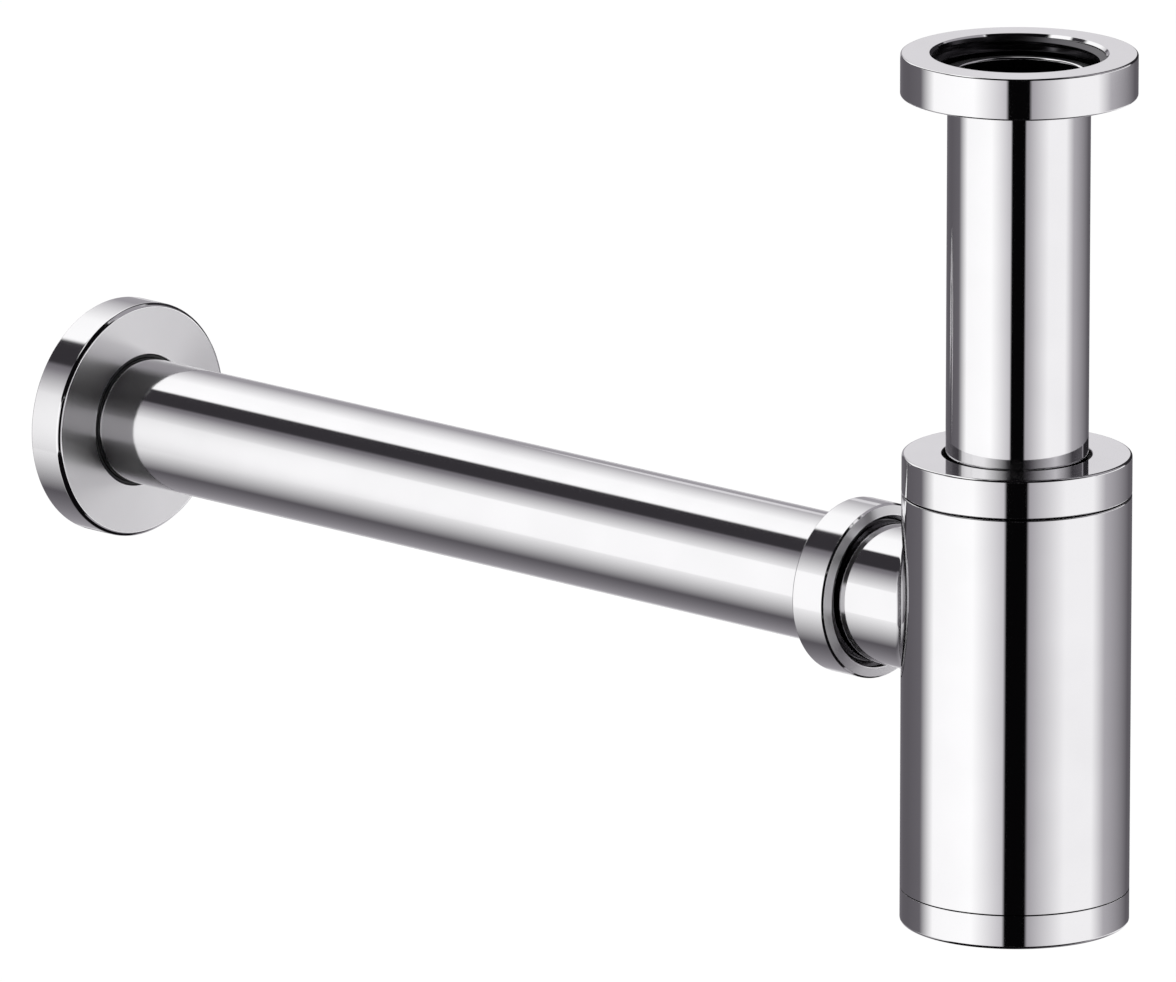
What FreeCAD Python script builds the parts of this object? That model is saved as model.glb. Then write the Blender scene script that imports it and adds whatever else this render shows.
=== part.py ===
import FreeCAD, Part
import math
import os

from FreeCAD import Vector

# Bottle trap for a wash basin, in millimetres.
# +Z is up and +Y runs along the outlet pipe to the wall.
# The origin is on the axis of the inlet nut, where its thread ends, level with the tube's rim.

# Basin tube
tube_radius = 17.35
tube_wall = 1.5
tube_exposed = 89.05
tube_insertion = 55.0
tube_end_chamfer = 0.4
rim_lip = 1.5
rim_round = 0.6
collar_width = 1.85
collar_thickness = 1.5

# Inlet nut, which screws onto the threaded tail of a 1 1/4 inch basin waste
inlet_thread_gap = 1.8
inlet_nut_wall = 7.75
inlet_thread_depth = 4.7
inlet_mouth_chamfer = 0.7
inlet_relief = 0.3
inlet_nut_floor = 1.8
inlet_nut_edge = 0.4
inlet_ring_thickness = 0.8
inlet_gasket_thickness = 1.3

# Bottle
bottle_wall = 1.8
bottle_body_height = 98.55
seam_edge = 0.2
neck_height = 5.95
neck_wall = 1.92
ledge_depth = 3.25
ledge_thickness = 2.0
ledge_gap = 1.2
shoulder_slope = 4.0

# Cap nut on the bottle's neck, whose seal keeps it a little off the bottle
cap_seam_gap = 0.35
cap_height = 9.6
cap_roof = 2.2
cap_wall = 3.0
cap_hole_gap = 0.85
cap_edge = 0.45
cap_mouth_chamfer = 0.4
cap_ring_thickness = 2.0

# Dip tube inside the bottle
dip_tube_wall = 1.4
dip_tube_gap = 0.35
dip_tube_floor_gap = 11.5
dip_collar_thickness = 2.8
dip_gasket_thickness = 1.2
tube_seat_depth = 2.4
tube_seat_width = 2.2
tube_seat_land = 2.0

# Cleaning plug in the bottom of the bottle, kept a little off it by its seal
plug_seam_gap = 0.25
plug_height = 8.45
plug_floor = 2.5
plug_wall = 2.4
plug_edge = 0.7
plug_bowl_round = 2.0
plug_thread_cover = 3.0
plug_thread_length = 8.25
plug_thread_lead = 1.0
plug_seal_section = 0.9

# Outlet stub, cast in one with the bottle
stub_below_shoulder = 14.9
stub_wall = 1.15
stub_length = 21.6
stub_flare = 3.5
stub_bore_gap = 0.3
stub_thread_length = 4.4
stub_rim = 0.67
outlet_seat_depth = 2.8
outlet_seat_width = 1.0

# Outlet nut on the stub
outlet_nut_wall = 2.9
outlet_nut_length = 10.8
outlet_nut_floor = 1.9
outlet_nut_edge = 0.5
outlet_nut_bevel = 0.45
outlet_ring_thickness = 1.5
outlet_seal_proud = 1.0

# Outlet pipe to the wall
pipe_radius = 16.0
pipe_wall = 1.2
pipe_insertion = 15.6
pipe_past_wall = 10.0
pipe_end_chamfer = 0.3
wall_distance = 307.3

# Wall rosette and the rubber ring that grips the pipe
rosette_width = 13.25
rosette_depth = 9.9
rosette_front = 1.8
rosette_rim = 1.5
rosette_edge = 1.7
grip_ring_width = 0.8
grip_ring_flange = 3.7
grip_flange_thickness = 1.6
grip_recess = 0.3

# Depth of the fine threads, whose ridges stand between the plain walls of a nut and its spigot
thread_depth = 0.8

# Clearances
thread_fit = 0.08
seal_fit = 0.05
cone_fit = 0.12
ring_fit = 0.25
hole_gap = 0.3
small_chamfer = 0.3

# Heights, from the rim of the tube
nut_top = inlet_thread_depth
collar_top = -rim_lip
collar_bottom = collar_top - collar_thickness
inlet_floor_top = collar_bottom - inlet_ring_thickness
nut_bottom = inlet_floor_top - inlet_nut_floor
cap_top = nut_bottom - tube_exposed
cap_bottom = cap_top - cap_height
cap_roof_bottom = cap_top - cap_roof
shoulder = cap_bottom - cap_seam_gap
neck_top = shoulder + neck_height
ledge_top = shoulder - ledge_depth
ledge_bottom = ledge_top - ledge_thickness
dip_gasket_top = ledge_top + dip_gasket_thickness
dip_collar_top = dip_gasket_top + dip_collar_thickness
cap_ring_bottom = cap_roof_bottom - cap_ring_thickness
tube_end = cap_top - tube_insertion
foot = shoulder - bottle_body_height
plug_flange_top = foot - plug_seam_gap
base = plug_flange_top - plug_height
bowl_floor = base + plug_floor
plug_thread_top = plug_flange_top + plug_thread_length
dip_tube_end = bowl_floor + dip_tube_floor_gap

# Radii round the bottle's axis, from the tube outwards
tube_bore = tube_radius - tube_wall
collar_radius = tube_radius + collar_width
inlet_thread_radius = collar_radius + inlet_thread_gap
inlet_nut_radius = inlet_thread_radius + inlet_nut_wall
inlet_hole = tube_radius + hole_gap
cap_hole = tube_radius + cap_hole_gap
dip_bore = tube_radius + dip_tube_gap
dip_outside = dip_bore + dip_tube_wall
dip_seat = dip_bore + tube_seat_width
dip_collar_radius = dip_seat + tube_seat_land
ledge_bore = dip_outside + ledge_gap
neck_bore = dip_collar_radius + hole_gap
neck_ring_radius = neck_bore - ring_fit
neck_outside = neck_bore + neck_wall
cap_thread_radius = neck_outside + thread_depth + thread_fit
bottle_radius = cap_thread_radius + cap_wall
bottle_bore = bottle_radius - bottle_wall
plug_thread_radius = bottle_radius - plug_thread_cover
plug_outside = plug_thread_radius - thread_depth - thread_fit
plug_bore = plug_outside - plug_wall
seal_pocket_radius = plug_outside + 2 * (plug_seal_section + seal_fit)
seal_pocket_top = plug_flange_top + 2 * plug_seal_section + ring_fit

# Radii round the outlet's axis, from the pipe outwards
pipe_bore = pipe_radius - pipe_wall
stub_bore = pipe_radius + stub_bore_gap
stub_radius = stub_bore + stub_wall
outlet_hole = pipe_radius + hole_gap
outlet_seat = stub_bore + outlet_seat_width
stub_thread_root = outlet_seat + stub_rim
outlet_thread_radius = stub_thread_root + thread_depth + thread_fit
outlet_ring_radius = outlet_thread_radius - thread_depth - ring_fit
outlet_nut_radius = outlet_thread_radius + outlet_nut_wall
grip_bore = pipe_radius + seal_fit
grip_outside = pipe_radius + grip_ring_width
rosette_hole = grip_outside + seal_fit
rosette_radius = rosette_hole + rosette_width

# The outlet's height, and distances along it from the bottle's axis
outlet_height = shoulder - stub_below_shoulder - stub_radius
stub_reach = bottle_radius + stub_length
stub_thread_start = stub_reach - stub_thread_length
seal_end = stub_reach + outlet_seal_proud
outlet_floor = seal_end + outlet_ring_thickness
outlet_nut_end = outlet_floor + outlet_nut_floor
outlet_nut_mouth = outlet_nut_end - outlet_nut_length
pipe_start = stub_reach - pipe_insertion
pipe_end = wall_distance + pipe_past_wall
rosette_face = wall_distance - rosette_depth


def upright(r, along):
    """A point of a section that is turned about the bottle's vertical axis."""
    return Vector(r, 0, along)


def level(r, along):
    """A point of a section that is turned about the outlet's level axis."""
    return Vector(r, along, outlet_height)


def rounded(corners, place):
    """Closed wire through corners (radius, distance along, round), each round one eased by an arc."""
    points = [place(r, along) for r, along, _ in corners]
    eased = []
    for i, (_, _, radius) in enumerate(corners):
        here = points[i]
        if radius <= 0:
            eased.append((here, None, here))
            continue
        back = (points[i - 1] - here).normalize()
        ahead = (points[(i + 1) % len(points)] - here).normalize()
        half = back.getAngle(ahead) / 2
        cut = radius / math.tan(half)
        inward = (back + ahead).normalize()
        middle = here + inward * (radius / math.sin(half) - radius)
        eased.append((here + back * cut, middle, here + ahead * cut))
    outline = []
    for i, (start, middle, end) in enumerate(eased):
        if middle:
            outline.append(Part.Arc(start, middle, end).toShape())
        following = eased[(i + 1) % len(eased)][0]
        outline.append(Part.LineSegment(end, following).toShape())
    return Part.Wire(outline)


def turned(corners, place=upright):
    """Solid made by turning a section about the bottle's axis or the outlet's."""
    axis = Vector(0, 0, 1) if place is upright else Vector(0, 1, 0)
    centre = place(0, 0)
    return Part.Face(rounded(corners, place)).revolve(centre, axis, 360)


def ring(inner, outer, low, high, edge=0.0, place=upright):
    """Flat ring with its outer edges eased."""
    corners = [(inner, low, 0), (outer, low, edge), (outer, high, edge), (inner, high, 0)]
    return turned(corners, place)


def cone_seal(bore, seat_bore, seat_radius, seat_start, seat_end, flange_radius, end, place):
    """Tapered rubber ring: a cone that fills its seat, and a flange beyond the seat."""
    tip = seat_start + (seat_end - seat_start) / 4
    tip_radius = seat_bore + (seat_radius - seat_bore) / 4 - cone_fit
    corners = [
        (bore, tip, 0),
        (tip_radius, tip, 0),
        (seat_radius - cone_fit, seat_end, 0),
        (flange_radius, seat_end, 0),
        (flange_radius, end, small_chamfer),
        (bore, end, 0),
    ]
    return turned(corners, place)


def inlet_nut():
    """Round nut with an inward floor that pulls the tube's collar up to the basin waste."""
    mouth = inlet_thread_radius + inlet_mouth_chamfer
    relief = inlet_thread_radius + inlet_relief
    return turned([
        (inlet_hole, nut_bottom, small_chamfer),
        (inlet_nut_radius, nut_bottom, inlet_nut_edge),
        (inlet_nut_radius, nut_top, inlet_nut_edge),
        (mouth, nut_top, 0),
        (inlet_thread_radius, nut_top - inlet_mouth_chamfer, 0),
        (inlet_thread_radius, 0, 0),
        (relief, 0, 0),
        (relief, inlet_floor_top, 0),
        (inlet_hole, inlet_floor_top, 0),
    ])


def inlet_slip_ring():
    """Thin ring that lets the nut turn under the collar."""
    return ring(tube_radius + ring_fit, collar_radius, inlet_floor_top, collar_bottom)


def inlet_tube():
    """Straight tube with a collar under its rounded rim."""
    return turned([
        (tube_bore, tube_end, 0),
        (tube_radius, tube_end, tube_end_chamfer),
        (tube_radius, collar_bottom, 0),
        (collar_radius, collar_bottom, 0),
        (collar_radius, collar_top, small_chamfer),
        (tube_radius, collar_top, 0),
        (tube_radius, 0, rim_round),
        (tube_bore, 0, rim_round),
    ])


def inlet_gasket():
    """Flat rubber ring on the collar, round the tube's rim."""
    top = collar_top + inlet_gasket_thickness
    return ring(tube_radius + seal_fit, collar_radius, collar_top, top, small_chamfer)


def bottle_cap():
    """Cap nut that closes the bottle's neck round the tube."""
    return turned([
        (cap_thread_radius, cap_bottom + cap_mouth_chamfer, 0),
        (cap_thread_radius + cap_mouth_chamfer, cap_bottom, 0),
        (bottle_radius, cap_bottom, seam_edge),
        (bottle_radius, cap_top, cap_edge),
        (cap_hole, cap_top, small_chamfer),
        (cap_hole, cap_roof_bottom, 0),
        (cap_thread_radius, cap_roof_bottom, 0),
    ])


def tube_slip_ring():
    """Ring that lets the cap turn on the tube's seal."""
    return ring(tube_radius + ring_fit, neck_ring_radius, cap_ring_bottom, cap_roof_bottom)


def tube_seal():
    """Cone seal that grips the tube above the dip tube's collar."""
    return cone_seal(
        tube_radius + seal_fit, dip_bore, dip_seat,
        dip_collar_top - tube_seat_depth, dip_collar_top,
        neck_ring_radius, cap_ring_bottom, upright,
    )


def dip_tube():
    """Moulded tube that hangs in the bottle and carries the water down to the bowl."""
    return turned([
        (dip_bore, dip_tube_end, 0),
        (dip_outside, dip_tube_end, small_chamfer),
        (dip_outside, dip_gasket_top, 0),
        (dip_collar_radius, dip_gasket_top, small_chamfer),
        (dip_collar_radius, dip_collar_top, small_chamfer),
        (dip_seat, dip_collar_top, 0),
        (dip_bore, dip_collar_top - tube_seat_depth, 0),
    ])


def dip_tube_gasket():
    """Flat ring between the dip tube's collar and the ledge in the neck."""
    return ring(dip_outside + ring_fit, dip_collar_radius, ledge_top, dip_gasket_top)


def bottle_cavity():
    """The space inside the bottle: neck bore, ledge, chamber, plug thread and seal pocket."""
    above = neck_top + hole_gap
    below = foot - hole_gap
    thread_top = plug_thread_top + plug_thread_lead
    chamber_top = ledge_bottom - shoulder_slope
    chamber_bottom = thread_top + bottle_bore - plug_thread_radius
    return turned([
        (0, below, 0),
        (seal_pocket_radius, below, 0),
        (seal_pocket_radius, seal_pocket_top, 0),
        (plug_thread_radius, seal_pocket_top, 0),
        (plug_thread_radius, thread_top, 0),
        (bottle_bore, chamber_bottom, 0),
        (bottle_bore, chamber_top, 0),
        (ledge_bore, ledge_bottom, 0),
        (ledge_bore, ledge_top, 0),
        (neck_bore, ledge_top, 0),
        (neck_bore, above, 0),
        (0, above, 0),
    ])


def outlet_stub():
    """The stub's outside, from the bottle's axis to its threaded end."""
    return turned([
        (0, 0, 0),
        (stub_radius, 0, 0),
        (stub_radius, stub_thread_start, 0),
        (stub_thread_root, stub_thread_start, small_chamfer),
        (stub_thread_root, stub_reach, small_chamfer),
        (0, stub_reach, 0),
    ], level)


def outlet_passage():
    """The hole through the stub, with the cone seat at its end."""
    seat_start = stub_reach - outlet_seat_depth
    return turned([
        (0, 0, 0),
        (stub_bore, 0, 0),
        (stub_bore, seat_start, 0),
        (outlet_seat, stub_reach, 0),
        (outlet_seat, stub_reach + hole_gap, 0),
        (0, stub_reach + hole_gap, 0),
    ], level)


def bottle_body():
    """Bottle and outlet stub in one casting, with a flare where the stub leaves the bottle."""
    outside = turned([
        (0, foot, 0),
        (bottle_radius, foot, seam_edge),
        (bottle_radius, shoulder, seam_edge),
        (neck_outside, shoulder, 0),
        (neck_outside, neck_top, small_chamfer),
        (0, neck_top, 0),
    ])
    whole = outside.fuse(outlet_stub())
    meeting = [e for e in whole.Edges if not isinstance(e.Curve, (Part.Circle, Part.Line))]
    flared = whole.makeFillet(stub_flare, meeting)
    return flared.cut(bottle_cavity()).cut(outlet_passage()).Solids[0]


def cleaning_plug():
    """Screw-in bowl that closes the bottle's foot and catches what sinks."""
    return turned([
        (0, base, 0),
        (bottle_radius, base, plug_edge),
        (bottle_radius, plug_flange_top, seam_edge),
        (plug_outside, plug_flange_top, 0),
        (plug_outside, plug_thread_top, small_chamfer),
        (plug_bore, plug_thread_top, small_chamfer),
        (plug_bore, bowl_floor, plug_bowl_round),
        (0, bowl_floor, 0),
    ])


def plug_seal():
    """Round rubber ring at the root of the plug's thread."""
    middle = plug_outside + seal_fit + plug_seal_section
    height = plug_flange_top + seal_fit + plug_seal_section
    return Part.makeTorus(middle, plug_seal_section, Vector(0, 0, height))


def outlet_nut():
    """Nut that runs on the stub and presses the cone seal onto the pipe."""
    return turned([
        (outlet_thread_radius, outlet_nut_mouth, small_chamfer),
        (outlet_nut_radius - outlet_nut_bevel, outlet_nut_mouth, 0),
        (outlet_nut_radius, outlet_nut_mouth + outlet_nut_bevel, 0),
        (outlet_nut_radius, outlet_nut_end, outlet_nut_edge),
        (outlet_hole, outlet_nut_end, small_chamfer),
        (outlet_hole, outlet_floor, 0),
        (outlet_thread_radius, outlet_floor, 0),
    ], level)


def outlet_slip_ring():
    """Ring that lets the outlet nut turn on its seal."""
    return ring(pipe_radius + ring_fit, outlet_ring_radius, seal_end, outlet_floor, 0, level)


def outlet_seal():
    """Cone seal that grips the outlet pipe in the stub's seat."""
    return cone_seal(
        pipe_radius + seal_fit, stub_bore, outlet_seat,
        stub_reach - outlet_seat_depth, stub_reach,
        outlet_ring_radius, seal_end, level,
    )


def outlet_pipe():
    """Straight pipe from the stub through the rosette into the wall."""
    return turned([
        (pipe_bore, pipe_start, 0),
        (pipe_radius, pipe_start, pipe_end_chamfer),
        (pipe_radius, pipe_end, pipe_end_chamfer),
        (pipe_bore, pipe_end, 0),
    ], level)


def wall_rosette():
    """Hollow round cover with a soft front edge, open towards the wall."""
    inside = rosette_radius - rosette_rim
    back_of_front = rosette_face + rosette_front
    return turned([
        (rosette_hole, rosette_face, small_chamfer),
        (rosette_radius, rosette_face, rosette_edge),
        (rosette_radius, wall_distance, small_chamfer),
        (inside, wall_distance, 0),
        (inside, back_of_front, rosette_edge - rosette_rim / 2),
        (rosette_hole, back_of_front, 0),
    ], level)


def rosette_grip_ring():
    """Rubber ring in the rosette's hole, with a flange behind the front wall."""
    back_of_front = rosette_face + rosette_front
    flange = grip_outside + grip_ring_flange
    lip_round = (grip_outside - grip_bore) / 3
    return turned([
        (grip_bore, rosette_face + grip_recess, lip_round),
        (grip_outside, rosette_face + grip_recess, lip_round),
        (grip_outside, back_of_front, 0),
        (flange, back_of_front, 0),
        (flange, back_of_front + grip_flange_thickness, small_chamfer),
        (grip_bore, back_of_front + grip_flange_thickness, small_chamfer),
    ], level)


pieces = [
    inlet_nut, inlet_slip_ring, inlet_gasket, inlet_tube,
    bottle_cap, tube_slip_ring, tube_seal, dip_tube, dip_tube_gasket,
    bottle_body, cleaning_plug, plug_seal,
    outlet_nut, outlet_slip_ring, outlet_seal, outlet_pipe,
    wall_rosette, rosette_grip_ring,
]

os.makedirs("parts", exist_ok=True)
for piece in pieces:
    shape = piece()
    shape.exportStep(f"parts/{piece.__name__}.step")
    print(piece.__name__, shape.ShapeType, shape.isValid(), len(shape.Solids), round(shape.Volume, 2))
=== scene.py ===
"""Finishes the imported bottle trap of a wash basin: turned chrome, threads, seals, studio and camera.

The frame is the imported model's, in metres: +Z is up, +Y runs along the outlet pipe to the wall, and
the origin is on the axis of the inlet nut, level with the rim of the basin tube. The sub-assemblies
give their own sizes in millimetres, as a drawing would, and a mesh is turned into metres when made.
"""

import logging
import math
from dataclasses import dataclass, field
from enum import Enum

import bpy
import numpy as np
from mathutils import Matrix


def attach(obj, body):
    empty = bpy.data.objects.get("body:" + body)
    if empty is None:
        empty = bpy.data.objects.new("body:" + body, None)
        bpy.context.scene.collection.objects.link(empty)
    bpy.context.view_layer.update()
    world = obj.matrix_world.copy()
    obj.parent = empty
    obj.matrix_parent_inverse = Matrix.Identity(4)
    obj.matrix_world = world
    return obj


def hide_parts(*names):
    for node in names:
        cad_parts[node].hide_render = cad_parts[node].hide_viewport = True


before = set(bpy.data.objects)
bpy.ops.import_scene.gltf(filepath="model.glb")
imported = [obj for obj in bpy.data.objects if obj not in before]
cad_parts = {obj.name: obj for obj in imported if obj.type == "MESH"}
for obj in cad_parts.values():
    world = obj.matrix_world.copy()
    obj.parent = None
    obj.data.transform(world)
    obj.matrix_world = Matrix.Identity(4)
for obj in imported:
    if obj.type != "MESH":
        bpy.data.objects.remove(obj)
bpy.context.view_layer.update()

LOG = logging.getLogger("bottle_trap")
MILLIMETRE = 0.001
OUTLET_HEIGHT = -136.95
BOTTLE_RADIUS = 28.0
TUBE_RADIUS = 17.35
PIPE_RADIUS = 16.0
CAP_BOTTOM = -104.25
SHOULDER = -104.6
FOOT = -203.15
PLUG_FLANGE_TOP = -203.4
FINE_PITCH = 1.5
PLUG_THREAD_START = PLUG_FLANGE_TOP + 2.45

# Limits of the mesh work: the cell that points are merged in, and what counts as nothing.
WELD_GRID = 1e-4
ON_AXIS = 1e-6
NO_LENGTH = 1e-12

# How far a section's run looks along the axis to be a face, and towards it to be a bore.
FACE_SHARE = 0.9
BORE_SHARE = -0.8

# The ridge of a screw thread: angle of its flanks, width of its crest as a share of the pitch, how
# far its foot is sunk, the turns it grows over, the share of its height at first, steps in a turn.
FLANK = math.radians(30.0)
CREST_SHARE = 0.14
FOOT_SUNK = 0.05
GROWING_TURNS = 0.25
START_SHARE = 0.02
TURN_STEPS = 90


class Axis(Enum):
    """The two axes that the pieces of the trap are turned about."""

    UPRIGHT = "upright"
    LEVEL = "level"


class Grain(Enum):
    """The way the polishing marks run on a piece of metal."""

    AROUND = "around"
    ALONG = "along"


class Surface(Enum):
    """The kinds of surface that a turned piece has, numbered as its material slots are."""

    SIDE = 0
    FACE = 1
    BORE = 2


Corner = tuple[float, float, float]
Triple = tuple[float, float, float]
Socket = bpy.types.NodeSocket
Material = bpy.types.Material


@dataclass(frozen=True)
class Patch:
    """A grid of points with a normal at each, whose faces look along the normals.

    Attributes:
        points: Array of shape (rows, columns, 3), in millimetres.
        normals: Array of the same shape, with unit vectors.
        surface: The kind of surface, which picks the material.
    """

    points: np.ndarray
    normals: np.ndarray
    surface: Surface = Surface.SIDE


@dataclass(frozen=True)
class Run:
    """A straight run or an eased corner of a section.

    Attributes:
        points: Points (radius, along).
        normals: Outward normals there.
        corner: Number of the corner that it starts from.
        eased: Whether it is the arc of that corner.
    """

    points: np.ndarray
    normals: np.ndarray
    corner: int
    eased: bool

    def surface(self, bare_with_painted_shade: tuple[int, ...] = ()) -> Surface:
        """Tells which kind of surface the run makes.

        Args:
            bare_with_painted_shade: Numbers of the corners whose runs have no polished plate and take
                the near-black bore metal, whose colour is painted shade.

        Returns:
            A face if it looks along the axis, a bore if it looks towards it, and otherwise a side.
        """
        if self.eased:
            return Surface.SIDE
        across, along = self.normals[0]
        if self.corner in bare_with_painted_shade or across < BORE_SHARE:
            return Surface.BORE
        return Surface.FACE if abs(along) > FACE_SHARE else Surface.SIDE


def seated(vectors: np.ndarray, axis: Axis, shift: bool = True) -> np.ndarray:
    """Turns vectors worked out about the upright axis onto the axis that is asked for.

    The level axis is the upright one rolled a quarter turn, so (x, y, z) becomes (x, z, -y), and it
    lies at the height of the outlet.

    Args:
        vectors: Points or normals, with x, y and z in the last dimension.
        axis: The axis that they are wanted about.
        shift: Whether to move them to the outlet's height, which normals don't need.

    Returns:
        The vectors about that axis.
    """
    if axis is Axis.UPRIGHT:
        return vectors
    x, y, z = np.moveaxis(vectors, -1, 0)
    lift = OUTLET_HEIGHT if shift else 0.0
    return np.stack([x, z, lift - y], axis=-1)


def full_turn(segments: int) -> np.ndarray:
    """Angles of one full turn, the last equal to the first."""
    return np.linspace(0.0, 2.0 * math.pi, segments + 1)


def swept(section: np.ndarray, normals: np.ndarray, angles: np.ndarray, axis: Axis,
          surface: Surface = Surface.SIDE) -> Patch:
    """Sweeps a run of section points about an axis.

    A point (r, h) at angle a becomes (r cos a, r sin a, h), and its normal (n, m) becomes
    (n cos a, n sin a, m).

    Args:
        section: Points (radius, distance along the axis), in order with the solid on their left.
        normals: Normals (outwards, along) at those points.
        angles: The angles that the section is carried through.
        axis: The axis that it is carried about.
        surface: The kind of surface that it makes.

    Returns:
        The swept patch, one row for each section point.
    """
    cos, sin = np.cos(angles), np.sin(angles)
    radius, along = section[:, :1], section[:, 1:]
    across, up = normals[:, :1], normals[:, 1:]
    flat = np.ones_like(angles)
    points = np.stack([radius * cos, radius * sin, along * flat], axis=-1)
    facing = np.stack([across * cos, across * sin, up * flat], axis=-1)
    return Patch(seated(points, axis), seated(facing, axis, shift=False), surface)


def section_runs(corners: list[Corner], steps: int = 8) -> list[Run]:
    """Splits a closed section into its straight runs and eased corners.

    A corner of round q between two runs is an arc of radius q that touches both. Its points are
    c + q (cos t, sin t) and its normals are (cos t, sin t), or the reverse in a hollow corner.

    Args:
        corners: Corners (radius, along, round) of the section, in order with the solid on the left.
        steps: How many steps each arc has.

    Returns:
        The runs, in order round the section.
    """
    points = np.array([corner[:2] for corner in corners], float)
    rounds = np.array([corner[2] for corner in corners], float)
    ahead = np.roll(points, -1, axis=0) - points
    ahead /= np.linalg.norm(ahead, axis=1, keepdims=True)
    before = np.roll(ahead, 1, axis=0)
    turn = before[:, 0] * ahead[:, 1] - before[:, 1] * ahead[:, 0]
    bend = np.arctan2(turn, np.sum(before * ahead, axis=1))
    cut = rounds * np.tan(np.abs(bend) / 2.0)
    starts = points - before * cut[:, None]
    ends = points + ahead * cut[:, None]
    runs = []
    for i, amount in enumerate(rounds):
        if amount > 0.0:
            side = math.copysign(1.0, bend[i])
            inward = np.array([-before[i, 1], before[i, 0]]) * side
            centre = starts[i] + inward * amount
            first = math.atan2(-inward[1], -inward[0])
            sweep = first + bend[i] * np.linspace(0.0, 1.0, steps + 1)
            spokes = np.column_stack([np.cos(sweep), np.sin(sweep)])
            runs.append(Run(centre + spokes * amount, spokes * side, i, True))
        line = np.array([ends[i], starts[(i + 1) % len(corners)]])
        outward = np.array([ahead[i, 1], -ahead[i, 0]])
        runs.append(Run(line, np.tile(outward, (2, 1)), i, False))
    return runs


def turned(corners: list[Corner], axis: Axis, bare_with_painted_shade: tuple[int, ...] = (), segments: int = 256,
           steps: int = 8) -> list[Patch]:
    """Turns a closed section into a solid of revolution.

    Args:
        corners: Corners (radius, along, round) of the section, in order with the solid on the left.
        axis: The axis that the section is turned about.
        bare_with_painted_shade: Numbers of the corners whose runs have no polished plate and take the
            near-black bore metal, whose colour is painted shade.
        segments: How many steps the turn has.
        steps: How many steps each eased corner has.

    Returns:
        One patch for each run of the section, apart from runs that lie on the axis.
    """
    return [
        swept(run.points, run.normals, full_turn(segments), axis, run.surface(bare_with_painted_shade))
        for run in section_runs(corners, steps) if np.max(run.points[:, 0]) > ON_AXIS
    ]


def ridge(root: float, crest: float, pitch: float, low: float, high: float, axis: Axis,
          phase: float = 0.0) -> list[Patch]:
    """Winds the ridge of a right-hand screw thread on or in a plain wall.

    The section is a trapezoid with flanks at 30 degrees, and its middle at angle a is at the height
    low + pitch a / 2 pi. Its height grows from nothing over the first quarter of a turn, and shrinks
    again over the last. The foot is sunk a little into the wall.

    Args:
        root: Radius of the plain wall that carries the ridge.
        crest: Radius of the ridge's flat crest.
        pitch: Distance between turns.
        low: Where the ridge starts along the axis.
        high: Where it ends.
        axis: The axis of the thread.
        phase: Share of a turn that the start is turned by.

    Returns:
        The flanks, crest, foot and two end caps.
    """
    sunk = FOOT_SUNK * math.copysign(1.0, root - crest)
    depth = crest - root
    flat = pitch * CREST_SHARE
    spread = abs(depth) * math.tan(FLANK)
    inset = flat / 2.0 + spread
    turns = (high - low - 2.0 * inset) / pitch
    wind = np.linspace(0.0, turns, int(turns * TURN_STEPS) + 1)
    fade = np.clip(np.minimum(wind, turns - wind) / GROWING_TURNS, START_SHARE, 1.0)
    fade = fade * fade * (3.0 - 2.0 * fade)
    angle = 2.0 * math.pi * (wind + phase)
    buried = np.array([1.0, 0.0, 0.0, 0.0, 0.0, 1.0])[:, None]
    raised = np.array([0.0, 0.0, 1.0, 1.0, 0.0, 0.0])[:, None]
    widths = np.array([-inset, -inset, -flat / 2.0, flat / 2.0, inset, inset])[:, None]
    radius = root + sunk * buried + depth * fade * raised
    height = low + inset + wind * pitch + widths
    points = np.stack([radius * np.cos(angle), radius * np.sin(angle), height], axis=-1)
    if depth < 0.0:
        points = points[::-1]
    closed = np.concatenate([points, points[:1]], axis=0)
    grids = [closed[i:i + 2] for i in range(6)]
    for end, order in ((0, 1), (-1, -1)):
        cap = points[::order, end]
        grids.append(np.stack([cap[:3], cap[:2:-1]], axis=0))
    # The ridges take the bore slot, whose near-black colour is painted shade.
    return [
        Patch(seated(grid, axis), seated(face_normals(grid), axis, shift=False), Surface.BORE)
        for grid in grids
    ]


def face_normals(grid: np.ndarray) -> np.ndarray:
    """Normals of a grid worked out from its own slopes.

    The normal at a point is the cross product of the grid's differences along its columns and rows.

    Args:
        grid: Array of shape (rows, columns, 3).

    Returns:
        Unit normals of the same shape.
    """
    across = np.gradient(grid, axis=1)
    down = np.gradient(grid, axis=0)
    normal = np.cross(across, down)
    length = np.linalg.norm(normal, axis=-1, keepdims=True)
    return normal / np.maximum(length, NO_LENGTH)


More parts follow.
